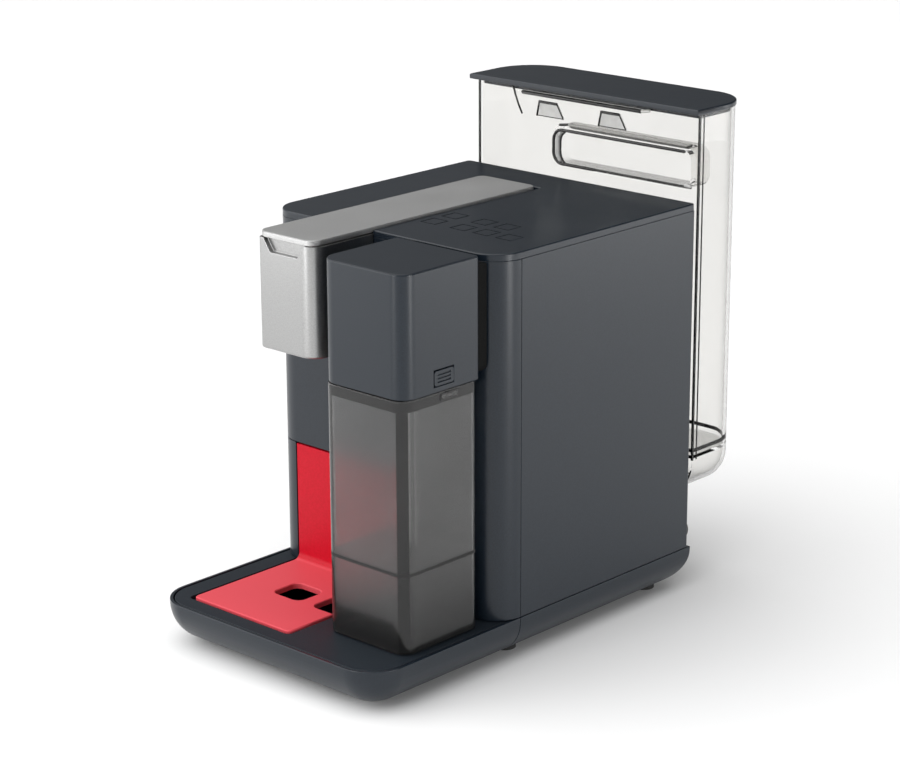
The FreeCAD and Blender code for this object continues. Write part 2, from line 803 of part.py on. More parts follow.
STEAM_X = 64.0
STEAM_Z = 246.0
BUTTON_Y = (-129.5, -110.5)
BUTTON_Z = (211.0, 222.0)


def make_milk_dock():
    bench = Bench("milk_dock")
    bench.pad("Z", 210.0, 283.0, rectangle(31.0, 97.0, d.milk_back + d.seam, d.housing_front))
    bench.round(5.0, lambda e: near(e.BoundBox.ZMin, 210) and near(e.BoundBox.ZMax, 210)
                and e.BoundBox.XLength < 0.01)
    bench.pocket("Y", d.milk_back + d.seam, d.housing_front, (STEAM_X, STEAM_Z, 4.0))
    finished(bench.body, "milk_dock")
    tube = rod("steam_tube", "Y", (STEAM_X, STEAM_Z), d.milk_back - 5, d.housing_front + 12, 4.0)
    bore = rod("steam_bore", "Y", (STEAM_X, STEAM_Z), d.milk_back - 6, d.housing_front + 13, 2.0)
    finished(cut("steam_nozzle", tube, bore), "steam_nozzle")


def make_milk_block():
    bench = Bench("milk_block")
    bench.pad("Z", d.milk_bottom, d.milk_top,
              rectangle(d.milk_left, d.milk_right, d.milk_front, d.milk_back))
    bench.round(d.milk_corner, upright(y=[d.milk_front]))
    bench.round(3.0, upright(y=[d.milk_back]))
    bench.chamfer(0.8, level(d.milk_top))
    bench.pocket("Z", d.milk_bottom, d.milk_top - d.wall,
                 soft_rectangle(d.milk_left + d.wall, d.milk_right - d.wall, d.milk_front + d.wall,
                                d.milk_back - d.wall, d.milk_corner - d.wall, 1.0))
    bench.pocket("Y", d.milk_back - d.wall, d.milk_back, (STEAM_X, STEAM_Z, 5.0))
    bench.pocket("X", d.milk_right - d.wall, d.milk_right, rectangle(*BUTTON_Y, *BUTTON_Z))
    bench.pocket("X", d.milk_left, d.milk_left + d.wall,
                 rectangle(-128.0, -116.0, 214.0, 226.0))
    finished(bench.body, "milk_block")


def make_release_button():
    """The jar release button: a cap with three finger grooves that slides in its hole."""
    gap = 0.4
    low_y, high_y = BUTTON_Y[0] + gap, BUTTON_Y[1] - gap
    low_z, high_z = BUTTON_Z[0] + gap, BUTTON_Z[1] - gap
    bench = Bench("release_button")
    bench.pad("X", d.milk_right - 6, d.milk_right + 0.3, rectangle(low_y, high_y, low_z, high_z))
    bench.round(2.0, lambda e: e.BoundBox.YLength < 0.01 and e.BoundBox.ZLength < 0.01)
    for step in range(3):
        z = low_z + 2.3 + 2.4 * step
        bench.pocket("X", d.milk_right - 0.5, d.milk_right + 0.3,
                     rectangle(low_y + 3, high_y - 3, z, z + 1.0))
    finished(bench.body, "release_button")
    middle_y = (BUTTON_Y[0] + BUTTON_Y[1]) / 2
    middle_z = (BUTTON_Z[0] + BUTTON_Z[1]) / 2
    place = FreeCAD.Vector(number(d.milk_right) - 6.5, middle_y, middle_z)
    turned = FreeCAD.Placement(place, AXIS_TURN["X"].inverted())
    coil_spring("button_spring", 3.4, 0.5, 3, 6.6, turned)


def make_frother():
    """The parts inside the milk unit: frother, its spout, the suction tube and the gasket."""
    body = rod("frother_can", "Z", (STEAM_X, -118.0), 222.0, 272.0, 15.0)
    spout_x = 16.5
    port = rod("frother_port", "Y", (STEAM_X, STEAM_Z), -112.0, d.milk_back - 6, 4.0)
    finished(fuse("frother", body, port), "frother")

    inlet = rod("spout_inlet", "X", (-122.0, 220.0), spout_x, 48.6, 4.5)
    down = rod("spout_down", "Z", (spout_x, -122.0), 196.0, 220.0, 4.5)
    elbow = doc.addObject("Part::Sphere", "spout_elbow")
    elbow.Radius = 4.5
    elbow.Placement.Base = FreeCAD.Vector(spout_x, -122, 220)
    mouth = rod("spout_mouth", "Z", (spout_x, -122.0), 195.0, 214.0, 2.4)
    finished(cut("milk_spout", fuse("spout_blank", inlet, down, elbow), mouth), "milk_spout")

    tube = rod("suction_outer", "Z", (STEAM_X, -118.0), d.jar_floor + 6, 222.0, 3.0)
    hole = rod("suction_inner", "Z", (STEAM_X, -118.0), d.jar_floor + 5, 221.0, 2.0)
    finished(cut("suction_tube", tube, hole), "suction_tube")

    inset = d.jar_wall + 0.8
    front = d.milk_front + inset
    back = d.milk_back - inset - 2
    bench = Bench("jar_gasket")
    bench.pad("Z", 200.5, d.milk_bottom - 0.1,
              rectangle(d.milk_left + inset, d.milk_right - inset - 1.2, front, back))
    bench.round(d.milk_corner - inset, upright(y=[front]))
    bench.round(4.0, upright(y=[back]))
    hole = soft_rectangle(d.milk_left + inset + 3, d.milk_right - inset - 4.2, front + 3, back - 3,
                          6.0, 2.0)
    bench.pocket("Z", 200.5, d.milk_bottom - 0.1, hole)
    finished(bench.body, "jar_gasket")


def make_jar():
    """The square milk jar: walls to the tray, with the floor a third of the way up."""
    left, right = d.milk_left + 0.3, d.milk_right - 1.0
    front, back = d.milk_front + 0.3, d.milk_back - 1.2
    bottom = d.base_rim + 0.3
    top = d.milk_bottom - 0.6
    wall = d.jar_wall
    front_corner = 10.0
    back_corner = 5.0
    inner = soft_rectangle(left + wall, right - wall, front + wall, back - wall,
                           front_corner - wall, back_corner - wall)
    bench = Bench("milk_jar")
    bench.pad("Z", bottom, top, rectangle(left, right, front, back))
    bench.round(front_corner, upright(y=[front]))
    bench.round(back_corner, upright(y=[back]))
    bench.round(1.5, level(bottom))
    bench.pocket("Z", d.jar_floor, top, inner)
    bench.pocket("Z", bottom, d.jar_floor - wall, inner)
    finished(bench.body, "milk_jar")


# ---- Water tank -------------------------------------------------------------------------


def tank_hull(label, inset, bottom, top):
    """The tank's outline with round rear corners and round lower edges, drawn in by an inset."""
    side = d.tank_side - inset
    front = d.tank_front + inset
    back = d.tank_back - inset
    bench = Bench(label)
    bench.pad("Z", bottom, top, rectangle(-side, side, front, back))
    bench.round(d.tank_corner - inset, upright(y=[back]))
    bench.round(d.tank_hull_radius - inset, level(bottom, but_y=front))
    return bench.body


def tank_well(label):
    """The water space above the tank's floor."""
    side = d.tank_side - d.wall
    bench = Bench(label)
    bench.pad("Z", d.tank_floor, d.tank_top + 1,
              rectangle(-side, side, d.tank_front + d.wall, d.tank_back - d.wall))
    bench.round(d.tank_corner - d.wall, upright(y=[d.tank_back - d.wall]))
    return bench.body


GRIP_X = (-30.0, 97.0)
GRIP_Z = (297.0, 322.0)
GRIP_DEPTH = 15.0


def grip_block(label, grow, low_y, high_y):
    bench = Bench(label)
    x = (GRIP_X[0] - grow, GRIP_X[1] + grow)
    bench.pad("Y", low_y, high_y, rectangle(*x, GRIP_Z[0] - grow, GRIP_Z[1] + grow))
    bench.round(7.0 + grow, lambda e: e.BoundBox.XLength < 0.01 and e.BoundBox.ZLength < 0.01)
    return bench.body


def make_tank():
    under_floor = d.tank_floor - d.wall
    outer = tank_hull("tank_outer", 0.0, d.tank_bottom, d.tank_top)
    skirt_space = tank_hull("skirt_space", d.wall, d.tank_bottom + d.wall, under_floor)
    under_side = d.tank_side - d.tank_hull_radius - 3
    under_back = d.tank_back - d.tank_hull_radius
    under = box("skirt_mouth", (-under_side, under_side), (d.tank_front + d.wall, under_back),
                (d.tank_bottom - 1, under_floor))
    door = box("dock_door", (-DOCK_HALF - 3, DOCK_HALF + 3), (d.tank_front - 1, d.tank_front + 4),
               (d.tank_bottom - 1, under_floor))
    drain = rod("drain_hole", "Z", (0.0, d.valve_back), under_floor - 1, d.tank_floor + 1, 6.0)
    shell = cut("tank_shell", outer, tank_well("tank_well"), skirt_space, under, door, drain)
    grip = grip_block("grip_wall", d.wall, d.tank_front + 1, d.tank_front + GRIP_DEPTH + d.wall)
    finger_room = grip_block("grip_room", 0.0, d.tank_front - 1, d.tank_front + GRIP_DEPTH)
    finished(cut("tank_body", fuse("tank_with_grip", shell, grip), finger_room), "tank_body")


def make_tank_lid():
    """The lift-off lid with the rim that centres it in the tank."""
    lid_front = d.housing_back + 0.4
    bench = Bench("tank_lid")
    bench.pad("Z", d.tank_top + 0.1, d.lid_top,
              rectangle(-d.half_width, d.half_width, lid_front, d.lid_back))
    bench.round(d.lid_corner, upright(y=[d.lid_back]))
    bench.round(1.2, lambda e: level(d.lid_top)(e))
    side = d.tank_side - d.wall - 0.5
    low_y = d.tank_front + d.wall + 0.5
    high_y = d.tank_back - d.wall - 0.5
    corner = d.tank_corner - d.wall
    rim = soft_rectangle(-side, side, low_y, high_y, 1.0, corner)
    inner = soft_rectangle(-side + 2, side - 2, low_y + 2, high_y - 2, 1.0, corner - 2)
    bench.pad("Z", d.tank_top - 4, d.tank_top + 0.1, rim, inner)
    finished(bench.body, "tank_lid")


def make_tank_valve():
    """The drain valve: a disc on a stem, held down by a spring inside a caged cap."""
    place = (0.0, d.valve_back)
    disc = rod("valve_disc", "Z", place, d.tank_floor + 0.3, d.tank_floor + 2.3, 9.0)
    stem = rod("valve_stem", "Z", place, d.tank_bottom + 14, d.tank_floor + 1, 3.0)
    finished(fuse("tank_valve", disc, stem), "tank_valve")

    top = d.tank_floor + 18
    can = rod("cage_can", "Z", place, d.tank_floor, top, 13.0)
    room = rod("cage_room", "Z", place, d.tank_floor - 1, top - 2, 11.0)
    window = box("cage_window", (-20.0, 20.0), (d.valve_back - 5, d.valve_back + 5),
                 (d.tank_floor + 2, top - 4))
    finished(cut("valve_cage", can, room, window), "valve_cage")

    low = number(d.tank_floor) + 2.8
    high = number(top) - 2.5
    place = FreeCAD.Vector(0, number(d.valve_back), low)
    coil_spring("valve_spring", 6.0, 0.5, 5, high - low, FreeCAD.Placement(place, FreeCAD.Rotation()))


DOCK_HALF = 40.0
DOCK_BOTTOM = 9.0
DOCK_TOP = 26.0


def make_tank_dock():
    """The ledge behind the base that the lowered tank sits over, and its inlet seat."""
    back = d.valve_back + 11
    bench = Bench("dock_blank")
    bench.pad("Z", DOCK_BOTTOM, DOCK_TOP, rectangle(-DOCK_HALF, DOCK_HALF, d.base_back - 14, back))
    bench.round(8.0, upright(y=[back]))
    bench.pocket("Z", 13.0, DOCK_TOP, (0.0, d.valve_back, 9.0))
    # The ledge's front follows the round lower edge of the base.
    base = base_hull("dock_base_print", -0.05, d.base_rim)
    finished(cut("tank_dock", bench.body, base), "tank_dock")
    seat = rod("seat_can", "Z", (0.0, d.valve_back), 13.0, DOCK_TOP + 2, 8.95)
    well = rod("seat_well", "Z", (0.0, d.valve_back), 14.5, DOCK_TOP + 3, 6.5)
    pin = rod("seat_pin", "Z", (0.0, d.valve_back), 14.0, 17.7, 1.5)
    seat_cup = cut("seat_cup", seat, well)
    finished(fuse("inlet_seat", seat_cup, pin), "inlet_seat")


# ---- Inside the machine -----------------------------------------------------------------


def hose(label, points, radius, bend):
    """A solid round hose: straight runs joined by tangent arcs."""
    corners = [FreeCAD.Vector(*[number(c) for c in point]) for point in points]
    edges = []
    start = corners[0]
    for before, corner, after in zip(corners, corners[1:], corners[2:]):
        incoming = (corner - before).normalize()
        outgoing = (after - corner).normalize()
        turn = incoming.getAngle(outgoing)
        reach = bend * math.tan(turn / 2)
        arc_start = corner - incoming * reach
        arc_end = corner + outgoing * reach
        inward = (outgoing - incoming).normalize()
        middle = corner + inward * (bend / math.cos(turn / 2) - bend)
        edges.append(Part.LineSegment(start, arc_start).toShape())
        edges.append(Part.Arc(arc_start, middle, arc_end).toShape())
        start = arc_end
    edges.append(Part.LineSegment(start, corners[-1]).toShape())
    direction = corners[1] - corners[0]
    section = Part.Wire(Part.makeCircle(radius, corners[0], direction))
    return finished(coded(label, Part.Wire(edges).makePipeShell([section], True, True)), label)


def make_chassis():
    """The floor plate and the upright bulkhead that carry the works."""
    side = d.half_width - d.wall - 1
    back = d.housing_back - d.wall - 1
    bench = Bench("chassis")
    bench.pad("Z", d.base_rim + 0.5, d.base_rim + 3.5, rectangle(-side, side, -10.0, back))
    bench.pad("Z", d.base_rim + 3.5, 278.0, rectangle(-side, side, -10.0, -7.0))
    bench.pocket("Y", -10.0, -7.0, rectangle(-58.6, -6.9, 217.0, 279.0))
    bench.pocket("Y", -10.0, -7.0, (STEAM_X, STEAM_Z, 6.0))
    bench.pocket("Z", d.base_rim + 0.5, d.base_rim + 3.5, (*SUCTION_DROP, 4.0))
    finished(bench.body, "chassis")


def make_works():
    """Pump, heater, flow meter, valve and boards."""
    pump_x, pump_z = 62.0, 68.0
    coil = box("pump_coil", (pump_x - 20, pump_x + 20), (30.0, 68.0), (pump_z - 18, pump_z + 18))
    barrel = rod("pump_barrel", "Y", (pump_x, pump_z), 6.0, 104.0, 12.0)
    nose = rod("pump_outlet", "Y", (pump_x, pump_z), 0.0, 116.0, 4.0)
    finished(fuse("water_pump", coil, barrel, nose), "water_pump")
    saddles = []
    for i, y in enumerate((14.0, 84.0)):
        block = box("saddle_block_%d" % i, (pump_x - 16, pump_x + 16), (y, y + 8),
                    (d.base_rim + 3.5, pump_z))
        bore = rod("saddle_bore_%d" % i, "Y", (pump_x, pump_z), y - 1, y + 9, 12.0)
        saddles.append(cut("saddle_%d" % i, block, bore))
    finished(group("pump_saddles", saddles), "pump_saddles")

    heater = box("heater_block", (-74.0, -10.0), (30.0, 72.0), (110.0, 190.0))
    ports = [rod("heater_port_%d" % i, "Z", (x, 50.0), 190.0, 202.0, 4.0)
             for i, x in enumerate((-60.0, -24.0))]
    finished(fuse("thermoblock", heater, *ports), "thermoblock")
    stand = box("stand_block", (-74.0, -10.0), (30.0, 72.0), (d.base_rim + 3.5, 109.9))
    hollow = box("stand_hollow", (-70.0, -14.0), (29.0, 73.0), (d.base_rim + 2, 106.0))
    finished(cut("heater_stand", stand, hollow), "heater_stand")

    meter = rod("meter_can", "Z", (8.0, 100.0), d.base_rim + 3.5, 58.0, 14.0)
    inlet = rod("meter_inlet", "X", (100.0, 50.0), 20.0, 34.0, 3.5)
    finished(fuse("flow_meter", meter, inlet), "flow_meter")

    valve = box("valve_box", (50.0, 78.0), (10.0, 44.0), (232.0, 260.0))
    plunger = rod("valve_coil", "Z", (64.0, 27.0), 260.0, 274.0, 10.0)
    finished(fuse("steam_valve", valve, plunger), "steam_valve")
    finished(box("control_board", (92.0, 93.6), (6.0, 112.0), (60.0, 210.0)), "control_board")
    switch_body = box("switch_body", (-70.0, -59.5), (-6.9, 4.0), (238.0, 252.0))
    finished(switch_body, "lever_switch")


def make_hoses():
    hose("coffee_duct", [(BREW_X, -72.1, 245), (BREW_X, NOZZLE_Y, 245), (BREW_X, NOZZLE_Y, 224.1)],
         3.0, 9.0)
    hose("pump_hose", [(62, 116.2, 68), (62, 121, 68), (62, 121, 100), (20, 121, 100),
                       (8, 100, 100), (8, 100, 58.2)], 2.5, 3.6)
    hose("heater_hose", [(62, -0.2, 68), (62, -3.2, 68), (30, -3.2, 90), (0, 8, 150), (0, 16, 214),
                         (-24, 50, 221), (-24, 50, 202.2)], 2.5, 2.9)
    # It enters the brew block beside the piston, clear of the piston's travel.
    hose("brew_hose", [(-60, 50, 202.2), (-60, 50, 216), (-54, 42, 228), (-54, 24.2, 228)], 2.5, 4.0)
    hose("suction_hose", [(34.2, 100, 50), (*SUCTION_DROP, 50), (*SUCTION_DROP, SUCTION_Z),
                          (SUCTION_X, 118, SUCTION_Z), (SUCTION_X, d.base_back - 3.5, SUCTION_Z)],
         2.5, 3.8)


make_base()
make_drip_tray()
make_tray_cover()
make_cup_panel()
make_bin()
make_front_shell()
make_panels()
make_rear_fittings()
make_top_cover()
make_lever()
make_pod_guide()
make_head()
make_brew_group()
make_milk_dock()
make_milk_block()
make_release_button()
make_frother()
make_jar()
make_tank()
make_tank_lid()
make_tank_valve()
make_tank_dock()
make_chassis()
make_works()
make_hoses()

doc.recompute()

for item in doc.Objects:
    if "Invalid" in item.State or "Error" in item.State:
        raise RuntimeError("%s failed to build: %s" % (item.Label, item.State))

for node in nodes:
    if node.Shape.isNull() or not node.Shape.isValid() or not node.Shape.Solids:
        raise RuntimeError("%s has no valid solid" % node.Label)

for node in nodes:
    node.Shape.exportStep("parts/%s.step" % node.Label)
    box_now = node.Shape.BoundBox
    print("%-18s solids %d volume %9.0f  x %7.1f %7.1f  y %7.1f %7.1f  z %6.1f %6.1f" % (
        node.Label, len(node.Shape.Solids), node.Shape.Volume, box_now.XMin, box_now.XMax,
        box_now.YMin, box_now.YMax, box_now.ZMin, box_now.ZMax))
print("%d nodes" % len(nodes))
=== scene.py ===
import json
import math

import bmesh
import bpy
from mathutils import Matrix, Vector


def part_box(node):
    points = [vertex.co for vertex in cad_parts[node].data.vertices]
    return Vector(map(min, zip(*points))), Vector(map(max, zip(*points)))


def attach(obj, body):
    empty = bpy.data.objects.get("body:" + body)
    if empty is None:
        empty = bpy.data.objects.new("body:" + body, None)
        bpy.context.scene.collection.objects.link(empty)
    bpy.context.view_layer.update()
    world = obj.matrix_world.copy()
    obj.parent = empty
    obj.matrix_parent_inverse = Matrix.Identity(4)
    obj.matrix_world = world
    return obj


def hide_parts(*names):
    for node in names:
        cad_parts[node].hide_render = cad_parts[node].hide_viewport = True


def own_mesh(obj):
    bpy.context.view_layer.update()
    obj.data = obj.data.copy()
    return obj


# Pod coffee machine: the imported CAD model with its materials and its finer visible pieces.
# Everything is in metres, in the frame of the CAD model: +X is right, +Y is back and +Z is up.

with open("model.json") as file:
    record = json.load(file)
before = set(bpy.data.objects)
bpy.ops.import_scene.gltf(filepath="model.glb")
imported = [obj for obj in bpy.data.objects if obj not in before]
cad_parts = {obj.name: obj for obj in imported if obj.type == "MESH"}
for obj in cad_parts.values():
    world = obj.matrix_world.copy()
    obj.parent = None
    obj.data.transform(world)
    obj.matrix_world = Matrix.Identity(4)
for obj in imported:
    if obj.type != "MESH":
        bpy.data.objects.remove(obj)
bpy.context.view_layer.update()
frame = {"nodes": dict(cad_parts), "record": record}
NODES = frame["nodes"]
BEHAVIOUR = frame["record"]["behaviour"]
SLOT_OF = {part["node"]: part["material_slot"] for part in frame["record"]["subparts"]}
BODY_OF = {node: body for body, nodes in BEHAVIOUR["bodies"].items() for node in nodes}

MM = 0.001
SHARP_ANGLE = math.radians(40)

scene = bpy.context.scene
scene.view_settings.view_transform = "Standard"


# ---- Camera, floor and light ------------------------------------------------------------


CAMERA_PLACE = (1.2058, -1.3026, 0.7099)
CAMERA_AZIMUTH = math.radians(42.969)
CAMERA_ELEVATION = math.radians(17.094)
CAMERA_ROLL = math.radians(-0.258)
CAMERA_LENS = 105.674

WHITE = (1.0, 1.0, 1.0, 1.0)
# The ambient light grows with a direction's lean towards the front left and upwards.
AMBIENT_LEAN = (-0.45, -0.72, 0.52)
AMBIENT_LEAN_RANGE = (-0.55, 0.85)
AMBIENT_STRENGTH_RANGE = (0.05, 0.55)

# Name, place, strength, and spread in degrees.
SUNS = (
    ("high_sun", (-0.30, -0.42, 1.5), 2.4, 95.0),
    ("front_sun", (-1.0, -0.9, 0.9), 0.40, 70.0),
)
# Name, place, width, height, and power in watts.
SOFTBOXES = (
    ("left_softbox", (-1.25, -1.25, 0.45), 1.5, 0.9, 7.5),
    ("front_strip", (-0.10, -1.55, 0.35), 0.25, 0.8, 5.0),
    ("right_strip", (1.55, -0.05, 0.25), 0.25, 0.6, 9.0),
    ("right_softbox", (1.30, 1.10, 0.15), 1.1, 0.3, 4.5),
)
SOFTBOX_AIM = (0.0, 0.0, 0.12)
FLOOR_HALF = 14.0
FLOOR_COLOUR = (0.88, 0.88, 0.88, 1.0)


def make_camera():
    back = Vector((
        math.sin(CAMERA_AZIMUTH) * math.cos(CAMERA_ELEVATION),
        -math.cos(CAMERA_AZIMUTH) * math.cos(CAMERA_ELEVATION),
        math.sin(CAMERA_ELEVATION),
    ))
    right = Vector((math.cos(CAMERA_AZIMUTH), math.sin(CAMERA_AZIMUTH), 0.0))
    up = back.cross(right)
    across = right * math.cos(CAMERA_ROLL) + up * math.sin(CAMERA_ROLL)
    upward = up * math.cos(CAMERA_ROLL) - right * math.sin(CAMERA_ROLL)
    data = bpy.data.cameras.new("camera")
    data.sensor_width = 36.0
    data.lens = CAMERA_LENS
    data.clip_end = 50.0
    camera = bpy.data.objects.new("camera", data)
    turn = Matrix((across, upward, back)).transposed().to_4x4()
    camera.matrix_world = Matrix.Translation(CAMERA_PLACE) @ turn
    scene.collection.objects.link(camera)
    scene.camera = camera


def aimed(light, place, aim):
    light.location = place
    light.rotation_mode = "QUATERNION"
    light.rotation_quaternion = (Vector(aim) - Vector(place)).to_track_quat("-Z", "Y")
    scene.collection.objects.link(light)


def make_softbox(name, place, width, height, power):
    data = bpy.data.lights.new(name, "AREA")
    data.shape = "RECTANGLE"
    data.size = width
    data.size_y = height
    data.energy = power
    aimed(bpy.data.objects.new(name, data), place, SOFTBOX_AIM)


def make_sun(name, place, strength, spread):
    data = bpy.data.lights.new(name, "SUN")
    data.energy = strength
    data.angle = math.radians(spread)
    aimed(bpy.data.objects.new(name, data), place, (0.0, 0.0, 0.0))


def mapped(tree, value, before, after, smooth=False):
    """Maps one range of a value onto another, in a straight or a smooth step."""
    spread = tree.nodes.new("ShaderNodeMapRange")
    if smooth:
        spread.interpolation_type = "SMOOTHSTEP"
    for socket, number in zip(("From Min", "From Max", "To Min", "To Max"), (*before, *after)):
        spread.inputs[socket].default_value = number
    tree.links.new(value, spread.inputs["Value"])
    return spread.outputs["Result"]


def make_world():
    """White behind the object; the light from all round is strong in front and weak behind."""
    world = bpy.data.worlds.new("studio")
    world.use_nodes = True
    tree = world.node_tree
    ambient = tree.nodes["Background"]
    ambient.inputs["Color"].default_value = WHITE
    place = tree.nodes.new("ShaderNodeTexCoord")
    lean = tree.nodes.new("ShaderNodeVectorMath")
    lean.operation = "DOT_PRODUCT"
    lean.inputs[1].default_value = AMBIENT_LEAN
    tree.links.new(place.outputs["Generated"], lean.inputs[0])
    strength = mapped(tree, lean.outputs["Value"], AMBIENT_LEAN_RANGE, AMBIENT_STRENGTH_RANGE, smooth=True)
    tree.links.new(strength, ambient.inputs["Strength"])

    backdrop = tree.nodes.new("ShaderNodeBackground")
    backdrop.inputs["Strength"].default_value = 1.0
    backdrop.inputs["Color"].default_value = WHITE
    # Two kinds of ray see the backdrop: a camera ray, and one that has only passed through clear pieces.
    rays = tree.nodes.new("ShaderNodeLightPath")
    straight = tree.nodes.new("ShaderNodeMath")
    straight.operation = "COMPARE"
    straight.inputs[2].default_value = 0.5
    tree.links.new(rays.outputs["Ray Depth"], straight.inputs[0])
    tree.links.new(rays.outputs["Transmission Depth"], straight.inputs[1])
    seen = tree.nodes.new("ShaderNodeMath")
    seen.operation = "MAXIMUM"
    tree.links.new(rays.outputs["Is Camera Ray"], seen.inputs[0])
    tree.links.new(straight.outputs["Value"], seen.inputs[1])
    chosen = tree.nodes.new("ShaderNodeMixShader")
    tree.links.new(seen.outputs["Value"], chosen.inputs["Fac"])
    tree.links.new(ambient.outputs["Background"], chosen.inputs[1])
    tree.links.new(backdrop.outputs["Background"], chosen.inputs[2])
    tree.links.new(chosen.outputs["Shader"], tree.nodes["World Output"].inputs["Surface"])
    scene.world = world


def make_floor():
    half = FLOOR_HALF
    corners = [(-half, -half, 0), (half, -half, 0), (half, half, 0), (-half, half, 0)]
    mesh = bpy.data.meshes.new("studio_floor")
    mesh.from_pydata(corners, [], [(0, 1, 2, 3)])
    floor = bpy.data.objects.new("studio_floor", mesh)
    scene.collection.objects.link(floor)
    material = bpy.data.materials.new("studio_floor")
    material.use_nodes = True
    shader = material.node_tree.nodes["Principled BSDF"]
    shader.inputs["Base Color"].default_value = FLOOR_COLOUR
    shader.inputs["Roughness"].default_value = 0.9
    shader.inputs["Specular IOR Level"].default_value = 0.1
    mesh.materials.append(material)


def make_studio():
    make_world()
    for sun in SUNS:
        make_sun(*sun)
    for softbox in SOFTBOXES:
        make_softbox(*softbox)
    make_floor()


# ---- Materials --------------------------------------------------------------------------


class Surface:
    """A Principled material whose colour, roughness and relief come from noise in the object's space."""

    def __init__(self, name):
        self.material = bpy.data.materials.new(name)
        self.material.use_nodes = True
        self.tree = self.material.node_tree
        self.shader = self.tree.nodes["Principled BSDF"]
        self.coordinates = self.tree.nodes.new("ShaderNodeTexCoord")

    def set(self, **sockets):
        for name, value in sockets.items():
            self.shader.inputs[name.replace("_", " ")].default_value = value

    def noise(self, scale, detail=2.0, stretch=(1.0, 1.0, 1.0)):
        mapping = self.tree.nodes.new("ShaderNodeMapping")
        mapping.inputs["Scale"].default_value = stretch
        self.tree.links.new(self.coordinates.outputs["Object"], mapping.inputs["Vector"])
        noise = self.tree.nodes.new("ShaderNodeTexNoise")
        noise.inputs["Scale"].default_value = scale
        noise.inputs["Detail"].default_value = detail
        self.tree.links.new(mapping.outputs["Vector"], noise.inputs["Vector"])
        return noise.outputs["Fac"]

    def colours(self, factor, dark, light):
        ramp = self.tree.nodes.new("ShaderNodeValToRGB")
        for element, position, colour in zip(ramp.color_ramp.elements, (0.35, 0.65), (dark, light)):
            element.position = position
            element.color = (*colour, 1.0)
        self.tree.links.new(factor, ramp.inputs["Fac"])
        self.tree.links.new(ramp.outputs["Color"], self.shader.inputs["Base Color"])

    def roughness(self, factor, low, high):
        spread = mapped(self.tree, factor, (0.3, 0.7), (low, high))
        self.tree.links.new(spread, self.shader.inputs["Roughness"])

    def blended(self, factor, colour, under=False):
        """Mixes a colour into the present one; under swaps which of them a factor of 0 gives."""
        mixed = self.tree.nodes.new("ShaderNodeMix")
        mixed.data_type = "RGBA"
        base = self.shader.inputs["Base Color"].links[0].from_socket
        self.tree.links.new(factor, mixed.inputs[0])
        mixed.inputs[6 if under else 7].default_value = (*colour, 1.0)
        self.tree.links.new(base, mixed.inputs[7 if under else 6])
        self.tree.links.new(mixed.outputs[2], self.shader.inputs["Base Color"])

    def edge_on(self, colour):
        """Turns the colour into another where the surface is seen edge-on: painted shade for the dark edges
        of clear walls.
        """
        facing = self.tree.nodes.new("ShaderNodeLayerWeight")
        facing.inputs["Blend"].default_value = 0.5
        raised = self.tree.nodes.new("ShaderNodeMath")
        raised.operation = "POWER"
        raised.inputs[1].default_value = 3.0
        self.tree.links.new(facing.outputs["Facing"], raised.inputs[0])
        self.blended(raised.outputs["Value"], colour)

    def by_height(self, colour, low, high):
        """Turns the colour into another from a high level in the object down to a low one: painted light on
        the red plate, painted shade on the jar's foot.
        """
        split = self.tree.nodes.new("ShaderNodeSeparateXYZ")
        self.tree.links.new(self.coordinates.outputs["Object"], split.inputs["Vector"])
        share = mapped(self.tree, split.outputs["Z"], (low, high), (0.0, 1.0), smooth=True)
        self.blended(share, colour, under=True)

    def relief(self, factor, strength, depth):
        bump = self.tree.nodes.new("ShaderNodeBump")
        bump.inputs["Strength"].default_value = strength
        bump.inputs["Distance"].default_value = depth
        self.tree.links.new(factor, bump.inputs["Height"])
        self.tree.links.new(bump.outputs["Normal"], self.shader.inputs["Normal"])


def moulded(name, dark, light, rough, grain, depth, specular=0.5, base=None, heights=None):
    """Moulded plastic or rubber with a fine grain. The base is its colour below two heights; on the red
    panel it is painted light on the cup plate.
    """
    surface = Surface(name)
    surface.set(Specular_IOR_Level=specular)
    surface.colours(surface.noise(grain * 0.8, detail=3.0), dark, light)
    if base:
        surface.by_height(base, *heights)
    surface.roughness(surface.noise(25.0, detail=3.0), rough - 0.015, rough + 0.015)
    surface.relief(surface.noise(grain), strength=0.3, depth=depth)
    return surface.material


def brushed(name, dark, light, rough, stretch=(1.0, 1.0, 1.0), metallic=1.0):
    """Satin or brushed metal; the stretch draws the brushing along one direction."""
    surface = Surface(name)
    surface.set(Metallic=metallic)
    surface.colours(surface.noise(1300.0, detail=3.0, stretch=stretch), dark, light)
    surface.roughness(surface.noise(30.0, detail=3.0, stretch=stretch), rough - 0.02, rough + 0.02)
    surface.relief(surface.noise(1600.0, stretch=stretch), strength=0.2, depth=0.00003)
    return surface.material


def clear(name, dark, light, rough, share=1.0, ior=1.46, rim=None, base=None, heights=None):
    """See-through plastic; below a share of 1 the rest is cloudy. Rough holds two values. The rim
    is its colour edge-on, as painted shade, and the base its colour below two heights, as painted shade on
    the jar's foot."""
    surface = Surface(name)
    surface.set(Transmission_Weight=share, IOR=ior)
    surface.colours(surface.noise(18.0), dark, light)
    surface.roughness(surface.noise(20.0), *rough)
    if base:
        surface.by_height(base, *heights)
    if rim:
        surface.edge_on(rim)
    return surface.material


# The red piece is paler on its cup plate than on its upright, as painted light on the plate's top, and the
# smoky jar darkens downwards, as painted shade towards its foot.
PLATE_PAINTED_LIGHT_RED = (0.66, 0.072, 0.092)
PLATE_HEIGHTS = (0.0334, 0.0350)
# Painted shade at the jar's foot, and the heights that it fades in over.
JAR_FOOT_PAINTED_SHADE = (0.12, 0.12, 0.12)
JAR_HEIGHTS = (0.030, 0.100)

